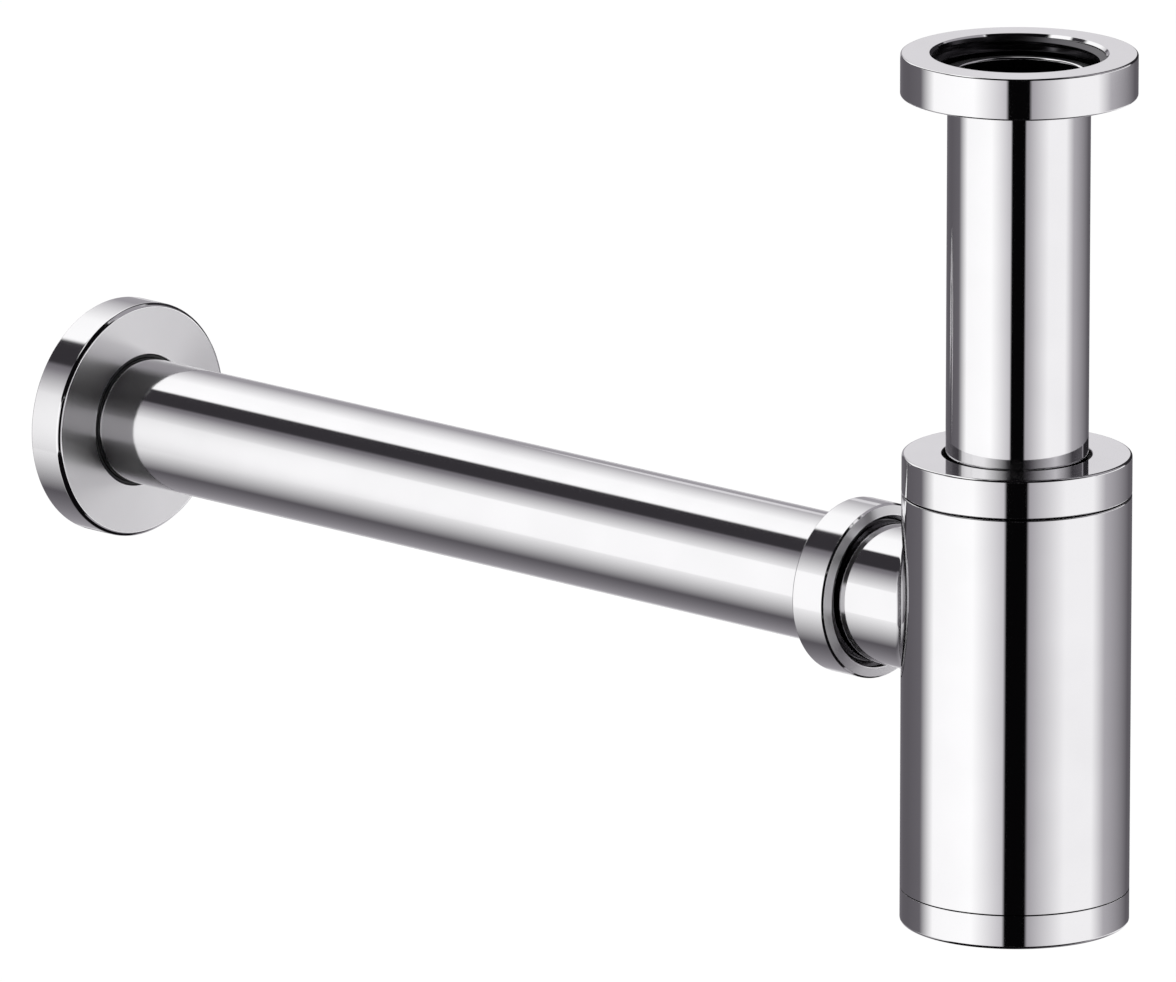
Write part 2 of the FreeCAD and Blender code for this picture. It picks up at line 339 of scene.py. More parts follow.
def welded(name: str, patches: list[Patch], materials: list[Material]) -> bpy.types.Object:
    """Joins patches into one closed mesh and gives it the exact normals of its surfaces.

    Points that fall into the same cell of a fine grid become one vertex, so seams and poles close.
    A four-sided face that has lost a side becomes a triangle, and one that has lost its area goes.

    Args:
        name: Name of the new object.
        patches: The patches, in millimetres.
        materials: The materials of its sides, faces and bores, or one for them all.

    Returns:
        The object, at the origin, with its place in its mesh.
    """
    points, normals, quads, slots = [], [], [], []
    offset = 0
    for patch in patches:
        rows, columns = patch.points.shape[:2]
        index = offset + np.arange(rows * columns).reshape(rows, columns)
        cell = np.stack([index[:-1, :-1], index[:-1, 1:], index[1:, 1:], index[1:, :-1]], axis=-1)
        quads.append(cell.reshape(-1, 4))
        slots.append(np.full(len(quads[-1]), min(patch.surface.value, len(materials) - 1)))
        points.append(patch.points.reshape(-1, 3))
        normals.append(patch.normals.reshape(-1, 3))
        offset += rows * columns
    loose, facing = np.concatenate(points), np.concatenate(normals)
    corners, slot = np.concatenate(quads), np.concatenate(slots)
    _, first, vertex = np.unique(
        np.round(loose / WELD_GRID).astype(np.int64), axis=0, return_index=True, return_inverse=True,
    )
    vertex = vertex.reshape(-1)[corners]
    kept = vertex != np.roll(vertex, 1, axis=1)
    sides = kept.sum(axis=1)
    sound = sides >= 3
    kept, vertex, corners, slot, sides = (a[sound] for a in (kept, vertex, corners, slot, sides))
    mesh = bpy.data.meshes.new(name)
    co = loose[first] * MILLIMETRE
    mesh.vertices.add(len(co))
    mesh.vertices.foreach_set("co", co.astype(np.float32).ravel())
    mesh.loops.add(int(sides.sum()))
    mesh.loops.foreach_set("vertex_index", vertex[kept].astype(np.int32))
    mesh.polygons.add(len(sides))
    mesh.polygons.foreach_set("loop_start", (np.cumsum(sides) - sides).astype(np.int32))
    mesh.polygons.foreach_set("material_index", slot.astype(np.int32))
    mesh.update(calc_edges=True)
    mesh.polygons.foreach_set("use_smooth", np.ones(len(sides), bool))
    for material in materials:
        mesh.materials.append(material)
    mesh.normals_split_custom_set(facing[corners[kept]].tolist())
    mesh.update()
    piece = bpy.data.objects.new(name, mesh)
    bpy.context.scene.collection.objects.link(piece)
    return piece


class Shader:
    """A material's node tree, with short ways to add and join nodes."""

    def __init__(self, name: str) -> None:
        """Starts an empty material that has only its output."""
        self.material = bpy.data.materials.new(name)
        self.material.use_nodes = True
        self.tree = self.material.node_tree
        self.tree.nodes.clear()
        self.output = self.add("ShaderNodeOutputMaterial")

    def add(self, kind: str, **settings: object) -> bpy.types.Node:
        """Adds a node.

        Args:
            kind: The node's type.
            **settings: Its properties, by name.

        Returns:
            The node.
        """
        node = self.tree.nodes.new(kind)
        for key, value in settings.items():
            setattr(node, key, value)
        return node

    def feed(self, socket: Socket, source: object) -> None:
        """Joins a socket to another one, or writes a plain value on it."""
        if isinstance(source, Socket):
            self.tree.links.new(source, socket)
        else:
            socket.default_value = source

    def calc(self, operation: str, *terms: object) -> Socket:
        """Adds a Math node.

        Args:
            operation: The node's operation.
            *terms: Its inputs, as sockets or numbers.

        Returns:
            The node's result.
        """
        node = self.add("ShaderNodeMath", operation=operation)
        for socket, term in zip(node.inputs, terms):
            self.feed(socket, term)
        return node.outputs[0]

    def ranged(self, value: object, low: float, high: float, start: float, end: float,
               smooth: bool = False) -> Socket:
        """Adds a Map Range node.

        Args:
            value: What is mapped.
            low: The value that becomes start.
            high: The value that becomes end.
            start: Result at low.
            end: Result at high.
            smooth: Whether the step between them is eased.

        Returns:
            The mapped value, held between start and end.
        """
        node = self.add("ShaderNodeMapRange")
        node.interpolation_type = "SMOOTHSTEP" if smooth else "LINEAR"
        for socket, term in zip(node.inputs, (value, low, high, start, end)):
            self.feed(socket, term)
        return node.outputs["Result"]

    def span(self, value: object, low: float, high: float, ease: float) -> Socket:
        """Tells how far a value lies between two limits.

        Args:
            value: The value.
            low: The lower limit.
            high: The upper limit.
            ease: How wide the step at each limit is.

        Returns:
            One between the limits, nothing outside them, and an eased step at each.
        """
        half = ease / 2.0
        rise = self.ranged(value, low - half, low + half, 0.0, 1.0, smooth=True)
        fall = self.ranged(value, high - half, high + half, 1.0, 0.0, smooth=True)
        return self.calc("MULTIPLY", rise, fall)

    def ramp(self, factor: object, stops: list[tuple[float, Triple]]) -> Socket:
        """Adds a Color Ramp node.

        Args:
            factor: Its input.
            stops: Places from 0 to 1, each with its linear colour.

        Returns:
            The ramp's colour.
        """
        node = self.add("ShaderNodeValToRGB")
        elements = node.color_ramp.elements
        while len(elements) < len(stops):
            elements.new(1.0)
        for element, (place, colour) in zip(elements, stops):
            element.position = place
            element.color = (*colour, 1.0)
        self.feed(node.inputs["Fac"], factor)
        return node.outputs["Color"]

    def noise(self, vector: object, scale: float, detail: float = 3.0,
              roughness: float = 0.5) -> Socket:
        """Adds a Noise Texture node.

        Args:
            vector: Where it is read.
            scale: How many blotches there are in a metre of that vector.
            detail: How many finer layers it has.
            roughness: How strong the finer layers are.

        Returns:
            The noise, from 0 to 1.
        """
        node = self.add("ShaderNodeTexNoise")
        self.feed(node.inputs["Vector"], vector)
        node.inputs["Scale"].default_value = scale
        node.inputs["Detail"].default_value = detail
        node.inputs["Roughness"].default_value = roughness
        return node.outputs["Fac"]

    def place(self, axis: Axis) -> tuple[Socket, ...]:
        """Reads where the shaded point is on its own turned piece.

        The distance from the axis is the square root of the sum of the squares of the two coordinates
        across it.

        Args:
            axis: The axis that the piece is turned about.

        Returns:
            Distance from the axis, distance along it, and the two coordinates across it.
        """
        coordinates = self.add("ShaderNodeTexCoord").outputs["Object"]
        split = self.add("ShaderNodeSeparateXYZ")
        self.feed(split.inputs[0], coordinates)
        x, y, z = split.outputs
        if axis is Axis.UPRIGHT:
            side, along = y, z
        else:
            side, along = self.calc("SUBTRACT", z, OUTLET_HEIGHT * MILLIMETRE), y
        square = self.calc("MULTIPLY_ADD", x, x, self.calc("MULTIPLY", side, side))
        return self.calc("SQRT", square), along, x, side

    def vector(self, x: object, y: object, z: object) -> Socket:
        """Joins three values into a vector."""
        node = self.add("ShaderNodeCombineXYZ")
        for socket, term in zip(node.inputs, (x, y, z)):
            self.feed(socket, term)
        return node.outputs[0]

    def blended(self, factor: object, first: object, second: object) -> Socket:
        """Mixes two colours.

        Args:
            factor: Share of the second.
            first: Colour at 0.
            second: Colour at 1.

        Returns:
            The mixed colour.
        """
        node = self.add("ShaderNodeMix", data_type="RGBA")
        self.feed(node.inputs["Factor"], factor)
        for socket, colour in zip(node.inputs[6:8], (first, second)):
            linked = isinstance(colour, Socket)
            self.feed(socket, colour if linked else (*colour, 1.0))
        return node.outputs[2]

    def bumped(self, height: object, strength: float, distance: float) -> Socket:
        """Turns a height into a normal.

        Args:
            height: The height, from 0 to 1.
            strength: Share of the effect.
            distance: How deep a height of 1 is, in metres.

        Returns:
            The normal.
        """
        node = self.add("ShaderNodeBump")
        node.inputs["Strength"].default_value = strength
        node.inputs["Distance"].default_value = distance
        self.feed(node.inputs["Height"], height)
        return node.outputs["Normal"]

    def principled(self, roughness: object, **constants: object) -> bpy.types.Node:
        """Adds the surface shader and joins it to the output.

        Args:
            roughness: A number, or a socket where it changes over the surface.
            **constants: Values set on the shader's own sockets, by name with underscores for spaces.

        Returns:
            The shader node.
        """
        shader = self.add("ShaderNodeBsdfPrincipled")
        self.feed(shader.inputs["Roughness"], roughness)
        for key, value in constants.items():
            shader.inputs[key.replace("_", " ").title()].default_value = value
        self.feed(self.output.inputs["Surface"], shader.outputs[0])
        return shader


@dataclass(frozen=True)
class ChromeFinish:
    """Chrome plate over turned or drawn brass, with the marks that polishing leaves.

    Attributes:
        name: Name of the material.
        axis: The axis of the piece that it is on.
        grain: The way the polishing marks run.
        roughness: Roughness of the clean plate.
        haze: How much rougher the marks are.
        depth: Depth of the marks, in metres.
        colour: Colour of the plate.
        marks: How many marks there are in a metre across them.
        blotches: How many blotches of haze there are in a metre.
        hazy: Values of the blotches' noise that the haze sets in at and is full at.
        faintest: Share of the haze that is left outside the blotches.
        shade: Share of its brightness that the plate keeps in the blotches.
        stretch: Share of its own length that a mark keeps along the piece.
        anisotropy: How far the marks stretch a highlight.
    """

    name: str
    axis: Axis
    grain: Grain = Grain.ALONG
    roughness: float = 0.035
    haze: float = 0.03
    depth: float = 1.2e-7
    colour: Triple = (0.80, 0.795, 0.805)
    marks: float = 900.0
    blotches: float = 55.0
    hazy: tuple[float, float] = (0.35, 0.7)
    faintest: float = 0.35
    shade: float = 0.965
    stretch: float = 0.02
    anisotropy: float = 0.0

    def material(self) -> Material:
        """Builds the plate: fine marks, broad haze and a faint change of tone."""
        shader = Shader(self.name)
        radius, along, x, side = shader.place(self.axis)
        if self.grain is Grain.AROUND:
            course = shader.vector(radius, along, 0.0)
        else:
            course = shader.vector(x, side, shader.calc("MULTIPLY", along, self.stretch))
        fine = shader.noise(course, self.marks, detail=4.0, roughness=0.65)
        broad = shader.noise(shader.vector(x, side, along), self.blotches, detail=2.0)
        haze = shader.ranged(broad, *self.hazy, self.faintest, 1.0)
        wear = shader.calc("MULTIPLY", fine, haze)
        rough = shader.ranged(wear, 0.1, 0.75, self.roughness, self.roughness + self.haze)
        quarter = 0.25 if self.anisotropy else 0.0
        plate = shader.principled(rough, metallic=1.0, anisotropic=self.anisotropy,
                                  anisotropic_rotation=quarter)
        shade = tuple(self.shade * channel for channel in self.colour)
        tone = shader.ranged(broad, 0.3, 0.7, 0.0, 1.0)
        shader.feed(plate.inputs["Base Color"], shader.blended(tone, self.colour, shade))
        shader.feed(plate.inputs["Normal"], shader.bumped(fine, 0.6, self.depth))
        if self.anisotropy:
            about = "Z" if self.axis is Axis.UPRIGHT else "Y"
            course = shader.add("ShaderNodeTangent", direction_type="RADIAL", axis=about)
            shader.feed(plate.inputs["Tangent"], course.outputs[0])
        return shader.material


@dataclass(frozen=True)
class RubberFinish:
    """Moulded black rubber: dull, a little dusty, with fine ripples from its mould.

    Attributes:
        name: Name of the material.
        axis: The axis of the ring that it is on.
        colour: Colour of the rubber.
        bloom: Colour where its surface has gone dusty.
        roughness: Roughness where it is clean.
        dusting: How much rougher the dust is.
        blotches: How many blotches of dust there are in a metre.
        pebbles: How many pebbles there are in a metre.
        ripples: How many ripples there are in a metre across them.
        depth: Depth of the ripples and the pebble, in metres.
    """

    name: str
    axis: Axis
    colour: Triple = (0.010, 0.010, 0.011)
    bloom: Triple = (0.022, 0.022, 0.024)
    roughness: float = 0.42
    dusting: float = 0.2
    blotches: float = 140.0
    pebbles: float = 2600.0
    ripples: float = 1500.0
    depth: float = 1.6e-5

    def material(self) -> Material:
        """Builds the rubber: dusty blotches, mould ripples round the ring and a fine pebble."""
        shader = Shader(self.name)
        radius, along, x, side = shader.place(self.axis)
        whole = shader.vector(x, side, along)
        dust = shader.noise(whole, self.blotches, detail=5.0, roughness=0.6)
        pebble = shader.noise(whole, self.pebbles, detail=2.0)
        ripple = shader.noise(shader.vector(radius, along, 0.0), self.ripples, detail=1.0)
        rough = shader.ranged(dust, 0.3, 0.7, self.roughness, self.roughness + self.dusting)
        body = shader.principled(rough)
        tint = shader.ranged(dust, 0.38, 0.68, 0.0, 1.0)
        shader.feed(body.inputs["Base Color"], shader.blended(tint, self.colour, self.bloom))
        height = shader.calc("MULTIPLY_ADD", ripple, 0.6, pebble)
        shader.feed(body.inputs["Normal"], shader.bumped(height, 0.5, self.depth))
        return shader.material


@dataclass(frozen=True)
class PlasticFinish:
    """Moulded plastic with flow marks and a faint ring pattern from the turned mould.

    Attributes:
        name: Name of the material.
        axis: The axis of the piece that it is on.
        colour: Colour of the plastic.
        shade: Colour in the flow marks.
        roughness: Roughness of its gloss.
        dulling: How much rougher the flow marks are.
        marks: How many flow marks there are in a metre across them.
        stretch: Share of its own length that a flow mark keeps along the piece.
        rings: How many of the mould's rings there are in a metre.
        depth: Depth of the mould's rings, in metres.
    """

    name: str
    axis: Axis
    colour: Triple = (0.80, 0.80, 0.78)
    shade: Triple = (0.70, 0.70, 0.68)
    roughness: float = 0.33
    dulling: float = 0.12
    marks: float = 160.0
    stretch: float = 0.25
    rings: float = 2200.0
    depth: float = 8.0e-6

    def material(self) -> Material:
        """Builds the plastic: flow marks along the piece, mould rings and a fine gloss change."""
        shader = Shader(self.name)
        radius, along, x, side = shader.place(self.axis)
        course = shader.vector(x, side, shader.calc("MULTIPLY", along, self.stretch))
        flow = shader.noise(course, self.marks, detail=3.0)
        rings = shader.noise(shader.vector(radius, along, 0.0), self.rings, detail=1.5)
        rough = shader.ranged(flow, 0.3, 0.7, self.roughness, self.roughness + self.dulling)
        body = shader.principled(rough)
        tint = shader.ranged(flow, 0.35, 0.7, 0.0, 1.0)
        shader.feed(body.inputs["Base Color"], shader.blended(tint, self.colour, self.shade))
        shader.feed(body.inputs["Normal"], shader.bumped(rings, 0.35, self.depth))
        return shader.material


class Finishes:
    """Every finish of the trap, made once and shared by its pieces."""

    def __init__(self) -> None:
        """Makes the materials."""
        up, level, around = Axis.UPRIGHT, Axis.LEVEL, Grain.AROUND
        # The unplated metal of the bores, threads and hidden runs is near-black: its colour is painted
        # shade for the dark insides of the nuts and bores.
        bare_with_painted_shade = {"roughness": 0.2, "haze": 0.08, "colour": (0.11, 0.106, 0.114)}
        self.upright_plate = [finish.material() for finish in (
            ChromeFinish("chrome_upright_side", up),
            ChromeFinish("chrome_upright_face", up, around, roughness=0.06),
            ChromeFinish("bare_metal_painted_shade_upright", up, around, **bare_with_painted_shade),
        )]
        self.level_plate = [finish.material() for finish in (
            ChromeFinish("chrome_level_side", level, roughness=0.07),
            ChromeFinish("chrome_level_face", level, around, roughness=0.28, anisotropy=0.85),
            ChromeFinish("bare_metal_painted_shade_level", level, around, **bare_with_painted_shade),
        )]
        self.upright_rubber = RubberFinish("rubber_upright", up).material()
        self.level_rubber = RubberFinish("rubber_level", level).material()
        self.white_plastic = PlasticFinish("plastic_white", up).material()
        dark, shade = (0.026, 0.026, 0.029), (0.04, 0.04, 0.043)
        self.upright_dark = PlasticFinish("plastic_dark_upright", up, dark, shade).material()
        self.level_dark = PlasticFinish("plastic_dark_level", level, dark, shade).material()


def add_piece(name: str, patches: list[Patch], materials: list[Material], body: str,
              slot: str, *nodes: str) -> None:
    """Makes a new piece, lets it ride on its body, and hides the nodes that it stands for.

    Args:
        name: Name of the piece.
        patches: Its patches, in millimetres.
        materials: The materials of its sides, faces and bores, or one for them all.
        body: The body that it rides on.
        slot: The record's material slot; not used.
        *nodes: Nodes that it replaces, if any.
    """
    piece = welded(name, patches, materials)
    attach(piece, body)
    if nodes:
        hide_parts(*nodes)
    LOG.info("%s: %d faces on %s", name, len(piece.data.polygons), body)


def dress_node(node: str, material: Material) -> None:
    """Gives a carried-over node its finish.

    Args:
        node: Name of the node.
        material: The finish.
    """
    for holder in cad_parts[node].material_slots:
        holder.material = material
    LOG.info("%s: kept, with %s", node, material.name)


@dataclass
class BasinConnection:
    """The inlet nut with its thread, and the basin tube with its collar, gasket and slip ring."""

    finishes: Finishes
    nut_radius: float = 28.75
    nut_top: float = 4.7
    nut_bottom: float = -5.6
    nut_hole: float = 17.65
    nut_floor: float = -3.8
    nut_edge: float = 0.5
    thread_radius: float = 21.0
    thread_crest: float = 19.476
    thread_pitch: float = 2.309
    thread_span: tuple[float, float] = (-0.55, 4.55)
    mouth_chamfer: float = 0.7
    relief: float = 0.3
    tube_bore: float = 15.85
    tube_end: float = -149.65
    collar_radius: float = 19.2
    collar_top: float = -1.5
    collar_bottom: float = -3.0
    rim_round: float = 0.6
    gasket_top: float = -0.2
    gasket_gap: float = 0.05

    def nut_corners(self) -> list[Corner]:
        """Section of the inlet nut."""
        mouth = self.thread_radius + self.mouth_chamfer
        relief = self.thread_radius + self.relief
        return [
            (self.nut_hole, self.nut_bottom, 0.3),
            (self.nut_radius, self.nut_bottom, self.nut_edge),
            (self.nut_radius, self.nut_top, self.nut_edge),
            (mouth, self.nut_top, 0.15),
            (self.thread_radius, self.nut_top - self.mouth_chamfer, 0.1),
            (self.thread_radius, 0.0, 0),
            (relief, 0.0, 0),
            (relief, self.nut_floor, 0),
            (self.nut_hole, self.nut_floor, 0),
        ]

    def tube_corners(self) -> list[Corner]:
        """Section of the basin tube with its collar."""
        return [
            (self.tube_bore, self.tube_end, 0),
            (TUBE_RADIUS, self.tube_end, 0.4),
            (TUBE_RADIUS, self.collar_bottom, 0),
            (self.collar_radius, self.collar_bottom, 0),
            (self.collar_radius, self.collar_top, 0.3),
            (TUBE_RADIUS, self.collar_top, 0),
            (TUBE_RADIUS, 0.0, self.rim_round),
            (self.tube_bore, 0.0, self.rim_round),
        ]

    def build(self) -> None:
        """Builds and dresses the pieces at the basin."""
        f = self.finishes
        nut = turned(self.nut_corners(), Axis.UPRIGHT)
        add_piece("turned_inlet_nut", nut, f.upright_plate, "inlet_nut", "polished_chrome",
                  "inlet_nut")
        screw = ridge(self.thread_radius, self.thread_crest, self.thread_pitch, *self.thread_span,
                      Axis.UPRIGHT)
        add_piece("inlet_nut_thread", screw, f.upright_plate, "inlet_nut", "polished_chrome")
        tube = turned(self.tube_corners(), Axis.UPRIGHT)
        add_piece("turned_basin_tube", tube, f.upright_plate, "inlet_tube", "polished_chrome",
                  "inlet_tube")
        inside = TUBE_RADIUS + self.gasket_gap
        gasket = turned([
            (inside, self.collar_top, 0.15), (self.collar_radius, self.collar_top, 0.15),
            (self.collar_radius, self.gasket_top, 0.35), (inside, self.gasket_top, 0.25),
        ], Axis.UPRIGHT)
        add_piece("moulded_inlet_gasket", gasket, [f.upright_rubber], "inlet_tube", "black_rubber",
                  "inlet_gasket")
        dress_node("inlet_slip_ring", f.white_plastic)


@dataclass
class BottleHead:
    """The cap nut on the bottle's neck, its thread, and the slip ring and cone seal under it."""

    finishes: Finishes
    cap_top: float = -94.65
    roof_bottom: float = -96.85
    hole: float = 18.2
    thread_radius: float = 25.0
    thread_crest: float = 24.2
    cap_edge: float = 0.65
    seam_edge: float = 0.3
    mouth_chamfer: float = 0.4
    thread_start: float = -103.5
    thread_length: float = 5.0

    def build(self) -> None:
        """Builds and dresses the cap nut and what it presses on."""
        f = self.finishes
        corners = [
            (self.thread_radius, CAP_BOTTOM + self.mouth_chamfer, 0),
            (self.thread_radius + self.mouth_chamfer, CAP_BOTTOM, 0),
            (BOTTLE_RADIUS, CAP_BOTTOM, self.seam_edge),
            (BOTTLE_RADIUS, self.cap_top, self.cap_edge),
            (self.hole, self.cap_top, 0.3),
            (self.hole, self.roof_bottom, 0),
            (self.thread_radius, self.roof_bottom, 0),
        ]
        cap = turned(corners, Axis.UPRIGHT, bare_with_painted_shade=(0, 1))
        add_piece("turned_bottle_cap", cap, f.upright_plate, "bottle_cap", "polished_chrome",
                  "bottle_cap")
        screw = ridge(self.thread_radius, self.thread_crest, FINE_PITCH, self.thread_start,
                      self.thread_start + self.thread_length, Axis.UPRIGHT, phase=0.5)
        add_piece("bottle_cap_thread", screw, f.upright_plate, "bottle_cap", "polished_chrome")
        dress_node("tube_slip_ring", f.upright_dark)
        dress_node("tube_seal", f.upright_rubber)


@dataclass
class Bottle:
    """The bottle and its outlet stub in one casting, with the dip tube that hangs in it."""

    finishes: Finishes
    bore: float = 26.2
    shoulder_edge: float = 0.35
    foot_edge: float = 0.08
    neck_outside: float = 24.12
    neck_crest: float = 24.92
    neck_thread_start: float = -103.5
    neck_runout: float = 0.4
    neck_top: float = -98.65
    neck_bore: float = 22.2
    ledge_top: float = -107.85
    ledge_bottom: float = -109.85
    ledge_bore: float = 20.3
    chamber_top: float = -113.85
    chamber_bottom: float = -192.95
    thread_top: float = -194.15
    thread_radius: float = 25.0
    thread_crest: float = 24.2
    thread_runout: float = 0.3
    pocket_top: float = -201.35
    pocket_radius: float = 26.02
    stub_radius: float = 17.45
    stub_bore: float = 16.3
    stub_flare: float = 3.5
    stub_thread_start: float = 45.2
    stub_thread_root: float = 17.97
    stub_thread_crest: float = 18.77
    stub_runout: float = 0.1
    stub_edge: float = 0.3
    stub_reach: float = 49.6
    seat_radius: float = 17.3
    seat_depth: float = 2.8
    segments: int = 256
    window_cells: int = 36
    window_height: float = 22.4
    window_rows: int = 48
    hole_rings: int = 15
    flare_rings: int = 17

    def window_levels(self) -> np.ndarray:
        """Heights of the window's rows, from its lower edge to its upper one."""
        half = self.window_height
        return OUTLET_HEIGHT + np.linspace(-half, half, self.window_rows + 1)

    def window(self) -> tuple[np.ndarray, np.ndarray]:
        """Outline of the square window that is left in a wall for the stub.

        Returns:
            Angles and heights of the window's points, in order round the stub and closed.
        """
        step = 2.0 * math.pi / self.segments
        columns = math.pi / 2.0 + step * np.arange(-self.window_cells, self.window_cells + 1)
        rows = self.window_levels()
        angles = np.concatenate([
            np.full(self.window_rows, columns[0]), columns[:-1],
            np.full(self.window_rows, columns[-1]), columns[:0:-1], columns[:1],
        ])
        heights = np.concatenate([
            rows[:-1], np.full(len(columns) - 1, rows[-1]),
            rows[:0:-1], np.full(len(columns) - 1, rows[0]), rows[:1],
        ])
        return angles, heights

    def clock(self) -> np.ndarray:
        """Angle about the outlet's axis of each point of the window, the same for every wall."""
        angles, heights = self.window()
        across = BOTTLE_RADIUS * np.cos(angles)
        return np.unwrap(np.arctan2(heights - OUTLET_HEIGHT, across))

    def holed_wall(self, radius: float, low: float, high: float, edge: np.ndarray,
                   inward: bool) -> list[Patch]:
        """Builds an upright wall with a hole where the stub leaves it.

        Every point is (radius cos a, radius sin a, z). Round the hole, a and z go in even steps from
        the edge of the hole to a square window, and the rest of the wall is a plain grid.

        Args:
            radius: Radius of the wall.
            low: Its lower end.
            high: Its upper end.
            edge: Points of the hole's edge, one for each point of the window.
            inward: Whether the wall looks towards the axis.

        Returns:
            The patches of the wall.
        """
        angles, heights = self.window()
        hole = np.arctan2(edge[:, 1], edge[:, 0])
        share = np.linspace(0.0, 1.0, self.hole_rings)[:, None]
        ring = (hole + (angles - hole) * share, edge[:, 2] + (heights - edge[:, 2]) * share)
        step = 2.0 * math.pi / self.segments
        rows = self.window_levels()
        half = step * self.window_cells
        first, last = math.pi / 2.0 - half, math.pi / 2.0 + half
        outside = np.linspace(last, first + 2.0 * math.pi, self.segments - 2 * self.window_cells + 1)
        inside = np.linspace(first, last, 2 * self.window_cells + 1)
        grids = [
            ring,
            np.broadcast_arrays(outside, np.concatenate([[low], rows, [high]])[:, None]),
            np.broadcast_arrays(inside, np.array([low, rows[0]])[:, None]),
            np.broadcast_arrays(inside, np.array([rows[-1], high])[:, None]),
        ]
        patches = []
        for angle, height in grids:
            facing = np.stack([np.cos(angle), np.sin(angle), np.zeros_like(angle)], axis=-1)
            points = np.stack([radius * np.cos(angle), radius * np.sin(angle), height], axis=-1)
            if inward:
                patches.append(facing_out(points, -facing, Surface.BORE))
            else:
                patches.append(facing_out(points, facing))
        return patches

    def flare(self) -> tuple[np.ndarray, np.ndarray]:
        """The hollow that eases the stub into the bottle.

        A ball of the flare's radius rolls in the corner between the two cylinders. Its centre at the
        angle t about the outlet is ((s + q) cos t, the square root of (R + q)^2 - x^2,
        (s + q) sin t), and it touches the stub straight below the centre and the bottle straight
        towards its axis. The surface is the arc between the two, on the ball.

        Returns:
            Points and normals, from the stub's edge to the bottle's.
        """
        clock = self.clock()
        reach, wide = BOTTLE_RADIUS + self.stub_flare, self.stub_radius + self.stub_flare
        centre = np.stack([
            wide * np.cos(clock), np.sqrt(reach ** 2 - (wide * np.cos(clock)) ** 2),
            OUTLET_HEIGHT + wide * np.sin(clock),
        ], axis=-1)
        to_stub = np.stack([-np.cos(clock), np.zeros_like(clock), -np.sin(clock)], axis=-1)
        to_bottle = np.stack([-centre[:, 0], -centre[:, 1], np.zeros_like(clock)], axis=-1) / reach
        angle = np.arccos(np.sum(to_stub * to_bottle, axis=-1))[:, None]
        share = np.linspace(0.0, 1.0, self.flare_rings)[:, None, None]
        spoke = np.sin((1.0 - share) * angle) * to_stub + np.sin(share * angle) * to_bottle
        spoke /= np.sin(angle)
        return centre + self.stub_flare * spoke, -spoke

    def stub_run(self, section: list[tuple[float, float]], normal: tuple[float, float]) -> Patch:
        """Carries a straight run of the stub's section round the outlet.

        Args:
            section: Two points (radius, along).
            normal: The run's normal (outwards, along).

        Returns:
            The patch.
        """
        clock = self.clock()
        radius, along = np.array(section)[:, :1], np.array(section)[:, 1:]
        points = np.stack([radius * np.cos(clock), along * np.ones_like(clock),
                           OUTLET_HEIGHT + radius * np.sin(clock)], axis=-1)
        return facing_out(points, self.spokes(normal, 2), Surface.BORE)

    def spokes(self, normal: tuple[float, float], rows: int) -> np.ndarray:
        """Normals (outwards, along) carried round the outlet, in as many rows as asked."""
        clock = self.clock()
        line = np.stack([normal[0] * np.cos(clock), np.full_like(clock, normal[1]),
                         normal[0] * np.sin(clock)], axis=-1)
        return np.tile(line, (rows, 1, 1))

    def stub(self) -> list[Patch]:
        """The stub from the flare to its end and back through its bore into the chamber."""
        hollow, hollow_normals = self.flare()
        clock = self.clock()
        cos, height = np.cos(clock), OUTLET_HEIGHT + self.stub_bore * np.sin(clock)
        depth = np.sqrt(self.bore ** 2 - (self.stub_bore * cos) ** 2)
        inner = np.stack([self.stub_bore * cos, depth, height], axis=-1)
        seat = self.stub_reach - self.seat_depth
        wall = inner.copy()
        wall[:, 1] = seat
        neck = hollow[0].copy()
        neck[:, 1] = self.stub_thread_start
        slope = math.atan2(self.seat_radius - self.stub_bore, self.seat_depth)
        patches = [
            facing_out(hollow, hollow_normals),
            facing_out(np.stack([hollow[0], neck]), self.spokes((1.0, 0.0), 2)),
            facing_out(np.stack([inner, wall]), self.spokes((-1.0, 0.0), 2), Surface.BORE),
            self.stub_run([(self.stub_bore, seat), (self.seat_radius, self.stub_reach)],
                          (-math.cos(slope), math.sin(slope))),
        ]
        edge, lip = self.stub_edge, self.stub_thread_start
        root, end = self.stub_thread_root, self.stub_reach
        diagonal = math.sqrt(0.5)
        patches += [
            self.stub_run([(self.stub_radius, lip), (root - edge, lip)], (0.0, -1.0)),
            self.stub_run([(root - edge, lip), (root, lip + edge)], (diagonal, -diagonal)),
            self.stub_run([(root, lip + edge), (root, end - edge)], (1.0, 0.0)),
            self.stub_run([(root, end - edge), (root - edge, end)], (diagonal, diagonal)),
            self.stub_run([(root - edge, end), (self.seat_radius, end)], (0.0, 1.0)),
        ]
        outer = self.holed_wall(BOTTLE_RADIUS, FOOT + self.foot_edge, SHOULDER - self.shoulder_edge,
                                hollow[-1], False)
        lining = self.holed_wall(self.bore, self.chamber_bottom, self.chamber_top, inner, True)
        return patches + outer + lining

